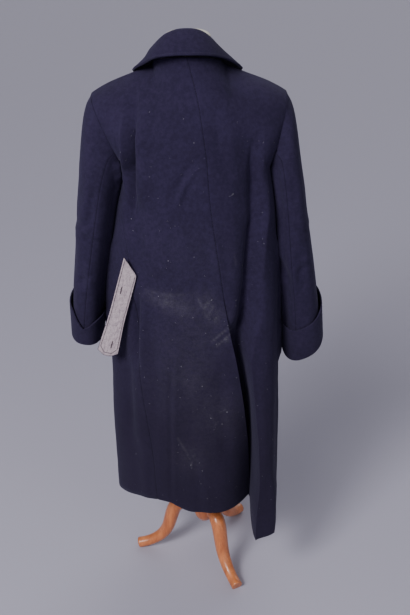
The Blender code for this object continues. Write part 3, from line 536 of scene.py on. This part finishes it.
# Sleeves: an upper and an under piece each, sewn along the arm and set into the armholes.
# They hang a little bent, creased across at the elbow.
LEFT_ARM_CREASES = (
    Crease(-0.268, 1.040, -0.238, 1.018, 0.002, 0.007, 0.0046, 0.6),
    Crease(-0.281, 0.960, -0.281, 0.890, 0.003, 0.010, 0.0052, 0.6),
    Crease(-0.226, 1.320, -0.202, 1.250, 0.003, 0.011, 0.0040, 0.5),
    Crease(-0.300, 1.060, -0.255, 1.075, 0.003, 0.009, 0.0040, -0.5),
    Crease(-0.262, 0.930, -0.300, 0.905, 0.002, 0.008, 0.0036, 0.5),
    Crease(-0.236, 1.150, -0.252, 1.060, 0.002, 0.010, 0.0040, -0.6),
    Crease(-0.296, 1.010, -0.302, 0.920, 0.003, 0.011, 0.0040, -0.5),
    Crease(-0.262, 1.200, -0.270, 1.110, 0.002, 0.014, 0.0034, 0.5),
)
RIGHT_ARM_CREASES = (
    Crease(0.212, 0.962, 0.232, 0.905, 0.002, 0.008, 0.0048, 0.6),
    Crease(0.208, 0.875, 0.222, 0.800, 0.003, 0.009, 0.0048, -0.6),
    Crease(0.232, 1.240, 0.240, 1.120, 0.003, 0.011, 0.0036, 0.5),
    Crease(0.240, 1.060, 0.272, 1.030, 0.003, 0.009, 0.0042, 0.5),
    Crease(0.285, 0.950, 0.250, 0.925, 0.003, 0.008, 0.0038, -0.5),
    Crease(0.225, 1.080, 0.236, 0.985, 0.002, 0.010, 0.0036, 0.6),
    Crease(0.228, 0.930, 0.236, 0.840, 0.002, 0.009, 0.0042, 0.5),
    Crease(0.262, 1.000, 0.270, 0.880, 0.003, 0.014, 0.0036, -0.5),
)
ARM_CREASES = {"left": LEFT_ARM_CREASES, "right": RIGHT_ARM_CREASES}
CUFF_TOP = {"left": 0.85, "right": 0.83}
CUFF_RUN = 0.03
HEAD_FROM = 1.13
HEAD_RUN = 0.08
RING_LEVELS = 8
RING_HALF = 0.06
ARM_WAVER = 0.0012
ARM_WAVER_SIZE = 0.06
ARM_WAVER_SEED = 5.3
ARM_RIPPLE = 0.0004
ARM_RIPPLE_SIZE = 0.025
ARM_RIPPLE_SEED = 8.9
ARM_FACE_FROM = 0.1
ARM_FACE_RUN = 0.5
CLOTH_LEVELS = 3
ARM_UV_RADIUS = 0.07
ARM_DUST = 0.03
SLEEVE_CUTS = {
    "sleeve_left_upper": ((0.26, 0.66), 0.1378),
    "sleeve_left_under": ((0.21, 0.58), 0.0976),
    "sleeve_right_upper": ((0.26, 0.66), 0.1452),
    "sleeve_right_under": ((0.22, 0.58), 0.1000),
}
# Sewing draws edges together: how much of the gap each side gives, and from how far.
# Along a seam both sides are pinched thinner; a sleeve that hangs free rests against the body.
SEAM_SHARE = 0.44
SEAM_FULL = 0.001
SEAM_REACH = 0.005
SEAM_PINCH = 0.0008
SEAM_LINE = 0.0016
ARM_SHARE = 0.93
ARM_FREE = (0.0015, 0.0045)
ARM_FULL = 0.010
ARM_REACH = 0.022


def arm_line(side):
    """Middle of a sleeve in x and y, as lines over z."""
    pieces = [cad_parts[f"sleeve_{side}_{piece}"].data for piece in ("upper", "under")]
    points = np.array([vertex.co for mesh in pieces for vertex in mesh.vertices])
    levels = np.linspace(CUFF_TOP[side], HEAD_FROM, RING_LEVELS)
    rings = [points[np.abs(points[:, 2] - level) < RING_HALF] for level in levels]
    middles = np.array([(ring.min(axis=0) + ring.max(axis=0)) / 2 for ring in rings])
    return [np.polyfit(levels, middles[:, axis], 1) for axis in (0, 1)]


def arm_cloth(obj, side):
    """Creases, unevenness, weave map and dust of a sleeve piece."""
    points = points_of(obj)
    middle = np.stack([np.polyval(fit, points[:, 2]) for fit in arm_line(side)], axis=1)
    outward = points[:, :2] - middle
    outward /= np.linalg.norm(outward, axis=1, keepdims=True)
    facing = eased((np.abs(outward[:, 1]) - ARM_FACE_FROM) / ARM_FACE_RUN)
    depth = creased(points, ARM_CREASES[side]) * facing
    depth += ARM_WAVER * wavering(points, ARM_WAVER_SIZE, ARM_WAVER_SEED)
    depth += ARM_RIPPLE * wavering(points, ARM_RIPPLE_SIZE, ARM_RIPPLE_SEED)
    depth *= 1 - eased((points[:, 2] - HEAD_FROM) / HEAD_RUN)
    depth *= eased((points[:, 2] - CUFF_TOP[side]) / CUFF_RUN)
    cloth_uvs(obj, ARM_UV_RADIUS * np.arctan2(outward[:, 0], -outward[:, 1]), points[:, 2])
    painted(obj, "dust", np.full(len(points), ARM_DUST))
    points[:, :2] += depth[:, None] * outward
    moved(obj, points)
    return obj


def nearby(pieces, others, reach):
    """For each piece the vertices that have another piece within reach, the way to it and how far it is."""
    trees = {name: tree_of(obj) for name, obj in others.items()}
    found = {}
    for name, obj in pieces.items():
        near = [tree for other, tree in trees.items() if other != name]
        places, ways, gaps = [], [], []
        for place, point in enumerate(points_of(obj).tolist()):
            nearest, least = None, reach
            for tree in near:
                spot, normal, face, away = tree.find_nearest(point, least)
                if spot is not None and away < least:
                    nearest, least = spot, away
            if nearest is not None:
                places.append(place)
                ways.append(nearest - Vector(point))
                gaps.append(least)
        found[name] = np.array(places, dtype=int), np.array(ways).reshape(-1, 3), np.array(gaps)
    return found


def sewn_up(pieces):
    """Edges that meet are drawn together by a share of the gap and pinched along the seam."""
    for name, (places, ways, gaps) in nearby(pieces, pieces, SEAM_REACH).items():
        points = points_of(pieces[name])
        fade = (1 - eased((gaps - SEAM_FULL) / (SEAM_REACH - SEAM_FULL)))[:, None]
        across = ways / np.maximum(gaps, WELD)[:, None]
        inward = -normals_of(pieces[name])[places]
        inward -= np.sum(inward * across, axis=1, keepdims=True) * across
        points[places] += fade * (SEAM_SHARE * ways + SEAM_PINCH * inward)
        moved(pieces[name], points)
        # The seam value paints shade along each seam into the wool's colour.
        line = np.zeros(len(points))
        line[places] = np.exp(-(gaps / SEAM_LINE) ** 2)
        painted(pieces[name], "seam", line)


def leant(pieces, others, below):
    """Below a level pieces that hang close beside others rest against them, but for the seam between."""
    for name, (places, ways, gaps) in nearby(pieces, others, ARM_REACH).items():
        points = points_of(pieces[name])
        fade = 1 - eased((gaps - ARM_FULL) / (ARM_REACH - ARM_FULL))
        fade *= eased((gaps - ARM_FREE[0]) / (ARM_FREE[1] - ARM_FREE[0]))
        fade *= eased((below - points[places, 2]) / QUIET_RUN)
        points[places] += ARM_SHARE * fade[:, None] * ways
        moved(pieces[name], points)


sleeves = {}
for node, (flat, area) in SLEEVE_CUTS.items():
    side = node.split("_")[1]
    sleeve = arm_cloth(fine_copy(node, f"{node}_wool", CLOTH_LEVELS, wool), side)
    sleeves[node] = shown(sleeve, "navy_wool", node)
sewn_up({**panels, **sleeves})
leant(sleeves, panels, body_high[2] + QUIET_RUN)

# Cuffs: deep bands of the same wool turned back over the sleeve ends, notched at the arm seam.
# The sides of the body rest against sleeves and cuffs.
CUFF_CUTS = {"left": ((0.44, 0.125), 0.0360), "right": ((0.46, 0.145), 0.0449)}
SIDES_BELOW = 1.05


def band_cloth(obj, radius):
    """Weave map and dust of a piece that runs round: its points and the way out at each."""
    points = points_of(obj)
    middle = (points.min(axis=0) + points.max(axis=0)) / 2
    outward = (points - middle)[:, :2]
    cloth_uvs(obj, radius * np.arctan2(outward[:, 0], -outward[:, 1]), points[:, 2])
    painted(obj, "dust", np.full(len(points), ARM_DUST))
    return points, outward / np.linalg.norm(outward, axis=1, keepdims=True)


cuffs = {}
for side, (flat, area) in CUFF_CUTS.items():
    cuff = fine_copy(f"cuff_{side}", f"cuff_{side}_wool", CLOTH_LEVELS, wool)
    band_cloth(cuff, ARM_UV_RADIUS)
    cuffs[side] = shown(cuff, "navy_wool", f"cuff_{side}")
leant(panels, {**sleeves, **cuffs}, SIDES_BELOW)

# Collar: a stand sewn to the neck seam and a fall that turns over it.
# The fall's edge is run round with one row of stitches.
COLLAR_CUTS = {"collar_stand": ((0.46, 0.045), 0.0140), "collar_fall": ((0.62, 0.115), 0.0442)}
COLLAR_CREASES = {
    "collar_stand": (),
    "collar_fall": (
        Crease(-0.045, 1.515, -0.085, 1.450, 0.000, 0.026, -0.0075, 0.0),
        Crease(-0.020, 1.480, -0.034, 1.440, 0.002, 0.012, 0.0012, 0.5),
        Crease(0.052, 1.480, 0.070, 1.440, -0.002, 0.012, 0.0012, -0.5),
    ),
}
# Behind, the left end of the fall lies lower: where in x, below which height, and how far.
DROOP_MIDDLE = -0.088
DROOP_REACH = 0.030
DROOP_TOP = 1.465
DROOP_RUN = 0.045
DROOP_TURN = 0.5
DROOP = {"collar_stand": 0.0, "collar_fall": 0.009}
COLLAR_UV_RADIUS = 0.09
collars = {}
for node, (flat, area) in COLLAR_CUTS.items():
    collar = fine_copy(node, f"{node}_wool", CLOTH_LEVELS, wool)
    points, outward = band_cloth(collar, COLLAR_UV_RADIUS)
    points[:, :2] += creased(points, COLLAR_CREASES[node])[:, None] * outward
    droop = np.exp(-((points[:, 0] - DROOP_MIDDLE) / DROOP_REACH) ** 2)
    droop *= eased(0.5 - outward[:, 1] / DROOP_TURN)
    points[:, 2] -= DROOP[node] * droop * eased((DROOP_TOP - points[:, 2]) / DROOP_RUN)
    moved(collar, points)
    collars[node] = shown(collar, "navy_wool", node)


def grouped(name, sockets):
    """An empty geometry node group with named inputs: the group and the inputs as sockets."""
    group = bpy.data.node_groups.new(name, "GeometryNodeTree")
    for label, kind in sockets.items():
        group.interface.new_socket(label, in_out="INPUT", socket_type=f"NodeSocket{kind}")
    group.interface.new_socket("Made", in_out="OUTPUT", socket_type="NodeSocketGeometry")
    entry = group.nodes.new("NodeGroupInput")
    return group, {label: Shade(group, entry.outputs[label]) for label in sockets}


def ended(group, made, material):
    """Instances made real, given their material and led out of the group."""
    real = made.add("GeometryNodeRealizeInstances", {"Geometry": made})
    dressed = made.add("GeometryNodeSetMaterial", {"Geometry": real, "Material": material})
    group.links.new(dressed.socket, group.nodes.new("NodeGroupOutput").inputs[0])


def laid(name, group, points, edges, **values):
    """A piece that a node group lays over points or a path, as its own mesh on the part's body."""
    mesh = bpy.data.meshes.new(name)
    mesh.from_pydata(points, edges, [])
    obj = bpy.data.objects.new(name, mesh)
    bpy.context.scene.collection.objects.link(obj)
    maker = obj.modifiers.new(name, "NODES")
    maker.node_group = group
    for socket in group.interface.items_tree:
        if socket.name in values:
            maker[socket.identifier] = values[socket.name]
    settled(obj)
    obj.data.shade_smooth()
    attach(obj, "root")


stitching, given = grouped(
    "stitches",
    {"Path": "Geometry", "Pitch": "Float", "Length": "Float", "Thickness": "Float", "Thread": "Material"},
)
path = given["Path"]
curve = path.add("GeometryNodeMeshToCurve", {"Mesh": path})
steps = path.add("GeometryNodeResampleCurve", {"Curve": curve, "Length": given["Pitch"]}, mode="LENGTH")
tangent = path.add("GeometryNodeInputTangent")
turn = path.add("FunctionNodeAlignRotationToVector", {"Vector": tangent}, axis="X")
bead = path.add("GeometryNodeMeshUVSphere", {"Segments": 8, "Rings": 5, "Radius": 0.5})
size = path.add(
    "ShaderNodeCombineXYZ", {"X": given["Length"], "Y": given["Thickness"], "Z": given["Thickness"]}
)
sewn = path.add(
    "GeometryNodeInstanceOnPoints", {"Points": steps, "Instance": bead, "Rotation": turn, "Scale": size}
)
ended(stitching, sewn, given["Thread"])


def joined(*paths):
    """Points and edges of several open paths."""
    points, edges = [], []
    for path in paths:
        edges += [(len(points) + step, len(points) + step + 1) for step in range(len(path) - 1)]
        points += [tuple(point) for point in path]
    return points, edges


NAVY_THREAD = (0.030, 0.026, 0.060, 1.0)
navy_thread = surface("navy_thread", Base_Color=NAVY_THREAD, Roughness=0.7)[0]
FALL_STITCH_IN = 0.0065
FALL_STITCH_TURN = 112
FALL_STITCH_STEP = 2
FALL_FAR = 0.4
THREAD_LIFT = 0.0002
fall_points = points_of(collars["collar_fall"])
fall_middle = (fall_points.min(axis=0) + fall_points.max(axis=0)) / 2
fall_turns = np.degrees(np.arctan2(fall_points[:, 0] - fall_middle[0], fall_middle[1] - fall_points[:, 1]))
fall_tree = tree_of(collars["collar_fall"])
fall_row = []
for turn in range(-FALL_STITCH_TURN, FALL_STITCH_TURN + 1, FALL_STITCH_STEP):
    edge = fall_points[np.abs(fall_turns - turn) < FALL_STITCH_STEP][:, 2].min()
    away = Vector((math.sin(math.radians(turn)), -math.cos(math.radians(turn)), 0.0))
    start = Vector((*fall_middle[:2], edge + FALL_STITCH_IN)) + FALL_FAR * away
    spot, normal, face, reached = fall_tree.ray_cast(start, -away)
    if spot is not None:
        fall_row.append(spot + THREAD_LIFT * normal)
laid("collar_stitches", stitching, *joined(fall_row), Pitch=0.0042, Length=0.0031, Thickness=0.0007,
     Thread=navy_thread)

# Half-belt: the left half, folded over at its seam so that its pale lining hangs outward.
# Wool and lining are sewn together round the edge, with two worked buttonholes.
LINING_LIGHT = (0.54, 0.445, 0.490, 1.0)
LINING_SHADE = (0.42, 0.335, 0.380, 1.0)
LINING_SOIL = (0.26, 0.195, 0.205, 1.0)
MOTTLE = (120.0, 4.0, 0.6)
MOTTLE_RANGE = (0.3, 0.7)
STAINS = (38.0, 5.0, 0.7)
STAINS_RANGE = (0.54, 0.80)
STAINS_SHARE = 0.55
PUCKERS = (150.0, 3.0, 0.6, (1.0, 1.0, 0.55))
PUCKERS_BUMP = (0.8, 0.008)
LINING_WEAVE = (900.0, 2.0)
LINING_WEAVE_BUMP = (0.3, 0.0008)
lining_cloth, shade, shader = surface("belt_lining_cloth", Roughness=0.8)
place = shade.add("ShaderNodeTexCoord", out="Object")
pale = place.noise(*MOTTLE).within(*MOTTLE_RANGE).mixed(LINING_SHADE, LINING_LIGHT)
soiled = place.noise(*STAINS).within(*STAINS_RANGE) * STAINS_SHARE
soiled.mixed(pale, LINING_SOIL).feed(shader, "Base Color")
puckers = place.noise(*PUCKERS).bump(*PUCKERS_BUMP)
place.noise(*LINING_WEAVE).bump(*LINING_WEAVE_BUMP, puckers).feed(shader, "Normal")
belt = fine_copy("half_belt", "half_belt_wool", CLOTH_LEVELS, wool)
points = points_of(belt)
cloth_uvs(belt, points[:, 0], points[:, 2])
painted(belt, "dust", np.full(len(points), ARM_DUST))
lining = fine_copy("half_belt_lining", "half_belt_lining_cloth", CLOTH_LEVELS, lining_cloth)
shown(belt, "navy_wool", "half_belt")
shown(lining, "belt_lining", "half_belt_lining")
BELT_TOP = (-0.157, 0.970)
BELT_LEAN = math.radians(16.5)
BELT_FAR = 0.5
# Sideways and down the belt from the middle of its fold.
BELT_ROW = (
    (-0.0168, -0.012), (-0.0168, 0.140), (-0.0188, 0.190), (-0.0214, 0.234), (-0.0095, 0.2500),
    (0.0095, 0.2500), (0.0214, 0.234), (0.0188, 0.190), (0.0168, 0.140), (0.0168, 0.024),
)
BELT_STEP = 0.003
BUTTONHOLES = ((-0.0070, 0.0675), (0.0050, 0.2240))
BUTTONHOLE_HALF = 0.0105
BUTTONHOLE_SIDE = 0.0011
BUTTONHOLE_STEPS = 24
lining_tree = tree_of(lining)


def on_lining(aside, down):
    """A spot on the lining's face from its place on the belt."""
    x = BELT_TOP[0] + aside * math.cos(BELT_LEAN) - down * math.sin(BELT_LEAN)
    z = BELT_TOP[1] - aside * math.sin(BELT_LEAN) - down * math.cos(BELT_LEAN)
    spot, normal, face, away = lining_tree.ray_cast(Vector((x, -BELT_FAR, z)), Vector((0.0, 1.0, 0.0)))
    return spot + THREAD_LIFT * normal if spot is not None else None


def kept(spots):
    """The spots that were found."""
    return [spot for spot in spots if spot is not None]


def stepped(row, step):
    """A row of corners with further points between them, no further apart than a step."""
    points = [row[0]]
    for start, end in zip(row, row[1:]):
        count = math.ceil(math.dist(start, end) / step)
        run = np.subtract(end, start)
        points += [tuple(np.add(start, run * part / count)) for part in range(1, count + 1)]
    return points


BROWN_THREAD = (0.040, 0.028, 0.036, 1.0)
brown_thread = surface("brown_thread", Base_Color=BROWN_THREAD, Roughness=0.7)[0]
belt_row = kept(on_lining(*spot) for spot in stepped(BELT_ROW, BELT_STEP))
laid("belt_stitches", stitching, *joined(belt_row), Pitch=0.0036, Length=0.0033, Thickness=0.0017,
     Thread=brown_thread)
rings = []
for aside, down in BUTTONHOLES:
    turns = [2 * math.pi * step / BUTTONHOLE_STEPS for step in range(BUTTONHOLE_STEPS + 1)]
    rings.append(kept(
        on_lining(aside + BUTTONHOLE_SIDE * math.sin(turn), down + BUTTONHOLE_HALF * math.cos(turn))
        for turn in turns
    ))
laid("belt_buttonholes", stitching, *joined(*rings), Pitch=0.0009, Length=0.0013, Thickness=0.0014,
     Thread=brown_thread)

# Buttons: dark horn discs with a rim, sewn on along the lap of the fronts.
# They keep their solids' form and only get their finish here.
HORN = (0.018, 0.015, 0.017, 1.0)
BUTTONS = 5
horn = surface("dark_horn", Base_Color=HORN, Roughness=0.32, Coat_Weight=0.2)[0]
for number in range(1, BUTTONS + 1):
    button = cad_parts[f"front_button_{number}"]
    button.data.materials.clear()
    button.data.materials.append(horn)

# Lint: pale fluff and crumbs caught in the nap of the back.
# The crumbs that stand out have their own places, and the fluff is strewn by chance.
LINT = (0.36, 0.35, 0.39, 1.0)
lint = surface("pale_lint", Base_Color=LINT, Roughness=0.95)[0]
# x and z of the crumbs that stand out.
CRUMBS = (
    (0.011, 0.648), (0.033, 0.618), (0.074, 0.566), (0.032, 0.552), (0.061, 0.529), (-0.023, 0.408),
    (0.007, 0.391), (0.151, 0.601), (-0.152, 1.079), (-0.148, 1.054), (0.002, 1.272), (0.090, 1.150),
    (-0.003, 0.999), (0.165, 1.019), (-0.065, 0.989), (0.072, 0.778), (0.038, 0.887), (-0.092, 0.896),
)
FLUFF_COUNT = 170
FLUFF_ACROSS = (-0.20, 0.20)
FLUFF_UP = (0.27, 1.36)
LINT_TURN = (0.4, 6.3, 0.4)
SEED = 11
BACK_FAR = 1.0
VECTOR_MOST = 1
FLOAT_LEAST = 2
FLOAT_MOST = 3
RANDOM_SEED = 8
RANDOM_FLOAT = 1
lint_group, given = grouped(
    "lint",
    {
        "Points": "Geometry", "Smallest": "Float", "Largest": "Float", "Longest": "Float",
        "Seed": "Int", "Fluff": "Material",
    },
)
points = given["Points"]
sizes = {FLOAT_LEAST: given["Smallest"], FLOAT_MOST: given["Largest"], RANDOM_SEED: given["Seed"]}
large = points.add("FunctionNodeRandomValue", sizes, out=RANDOM_FLOAT, data_type="FLOAT")
lengths = {FLOAT_LEAST: 1.0, FLOAT_MOST: given["Longest"], RANDOM_SEED: given["Seed"] + 1}
long = points.add("FunctionNodeRandomValue", lengths, out=RANDOM_FLOAT, data_type="FLOAT")
turns = {VECTOR_MOST: LINT_TURN, RANDOM_SEED: given["Seed"] + 2}
swing = points.add("FunctionNodeRandomValue", turns, data_type="FLOAT_VECTOR")
crumb = points.add("GeometryNodeMeshIcoSphere", {"Radius": 0.5, "Subdivisions": 2})
scattered = points.add("GeometryNodeInstanceOnPoints", {
    "Points": points,
    "Instance": crumb,
    "Rotation": points.add("FunctionNodeEulerToRotation", {"Euler": swing}),
    "Scale": points.add("ShaderNodeCombineXYZ", {"X": large * long, "Y": large, "Z": large}),
})
ended(lint_group, scattered, given["Fluff"])
panel_trees = [tree_of(obj) for obj in panels.values()]


def on_back(x, z):
    """The hindmost spot of the body cloth at x and z."""
    hits = [tree.ray_cast(Vector((x, -BACK_FAR, z)), Vector((0.0, 1.0, 0.0))) for tree in panel_trees]
    hits = [hit for hit in hits if hit[0] is not None]
    return min(hits, key=lambda hit: hit[3])[0] if hits else None


chance = np.random.default_rng(SEED)
fluff = chance.uniform((FLUFF_ACROSS[0], FLUFF_UP[0]), (FLUFF_ACROSS[1], FLUFF_UP[1]), (FLUFF_COUNT, 2))
crumbs = kept(on_back(*spot) for spot in CRUMBS)
laid("lint_crumbs", lint_group, crumbs, [], Smallest=0.0009, Largest=0.0016, Longest=2.2, Seed=SEED,
     Fluff=lint)
strewn = kept(on_back(*spot) for spot in fluff)
laid("lint_fluff", lint_group, strewn, [], Smallest=0.0003, Largest=0.0007, Longest=6.0, Seed=SEED,
     Fluff=lint)

# Floor: one pale plain sheet under all of it, in soft studio light.
# The strongest lamp stands high at the left behind the coat, and a soft one in front of it.
FLOOR_HALF = 30.0
PAPER = (0.435, 0.415, 0.515, 1.0)
paper = surface("pale_floor", Base_Color=PAPER, Roughness=0.9, Specular_IOR_Level=0.2)[0]
ground = bpy.data.meshes.new("floor")
ends = (-FLOOR_HALF, FLOOR_HALF)
ground.from_pydata([(x, y, 0.0) for x in ends for y in ends], [], [(0, 2, 3, 1)])
ground.materials.append(paper)
floor = bpy.data.objects.new("floor", ground)
bpy.context.scene.collection.objects.link(floor)

# name, kind, place, aim, strength, and size or angle of each soft light
Lamp = namedtuple("Lamp", "name kind place aim strength wide")
LAMPS = (
    Lamp("key", "AREA", (-1.45, -2.2, 2.6), (0.0, 0.0, 1.25), 58.0, 0.8),
    Lamp("room", "SUN", (-1.45, -2.2, 2.6), (0.0, 0.0, 0.6), 1.2, math.radians(30)),
    Lamp("fill", "SUN", (1.7, -2.3, 1.2), (0.0, 0.0, 0.0), 0.4, math.radians(50)),
    Lamp("back", "SUN", (0.8, 2.4, 2.0), (0.0, 0.0, 0.0), 0.8, math.radians(50)),
)
WIDTH = {"AREA": "size", "SUN": "angle"}
for lamp in LAMPS:
    light = bpy.data.lights.new(lamp.name, lamp.kind)
    light.energy = lamp.strength
    setattr(light, WIDTH[lamp.kind], lamp.wide)
    holder = bpy.data.objects.new(lamp.name, light)
    holder.location = lamp.place
    holder.rotation_euler = (Vector(lamp.place) - Vector(lamp.aim)).to_track_quat("Z", "Y").to_euler()
    bpy.context.scene.collection.objects.link(holder)
SKY = (0.92, 0.94, 1.0, 1.0)
SKY_STRENGTH = 0.24
world = bpy.data.worlds.new("studio")
world.use_nodes = True
world.node_tree.nodes["Background"].inputs["Color"].default_value = SKY
world.node_tree.nodes["Background"].inputs["Strength"].default_value = SKY_STRENGTH
bpy.context.scene.world = world

CAMERA_PLACE = (0.0212, -2.0026, 1.764)
CAMERA_DOWN = math.radians(25.48)
CAMERA_ROLL = math.radians(-0.88)
camera = bpy.data.cameras.new("camera")
camera.lens = 50.0
camera.sensor_width = 36.0
viewer = bpy.data.objects.new("camera", camera)
tilt = Matrix.Rotation(math.pi / 2 - CAMERA_DOWN, 4, "X") @ Matrix.Rotation(CAMERA_ROLL, 4, "Z")
viewer.matrix_world = Matrix.Translation(CAMERA_PLACE) @ tilt
bpy.context.scene.collection.objects.link(viewer)
bpy.context.scene.camera = viewer
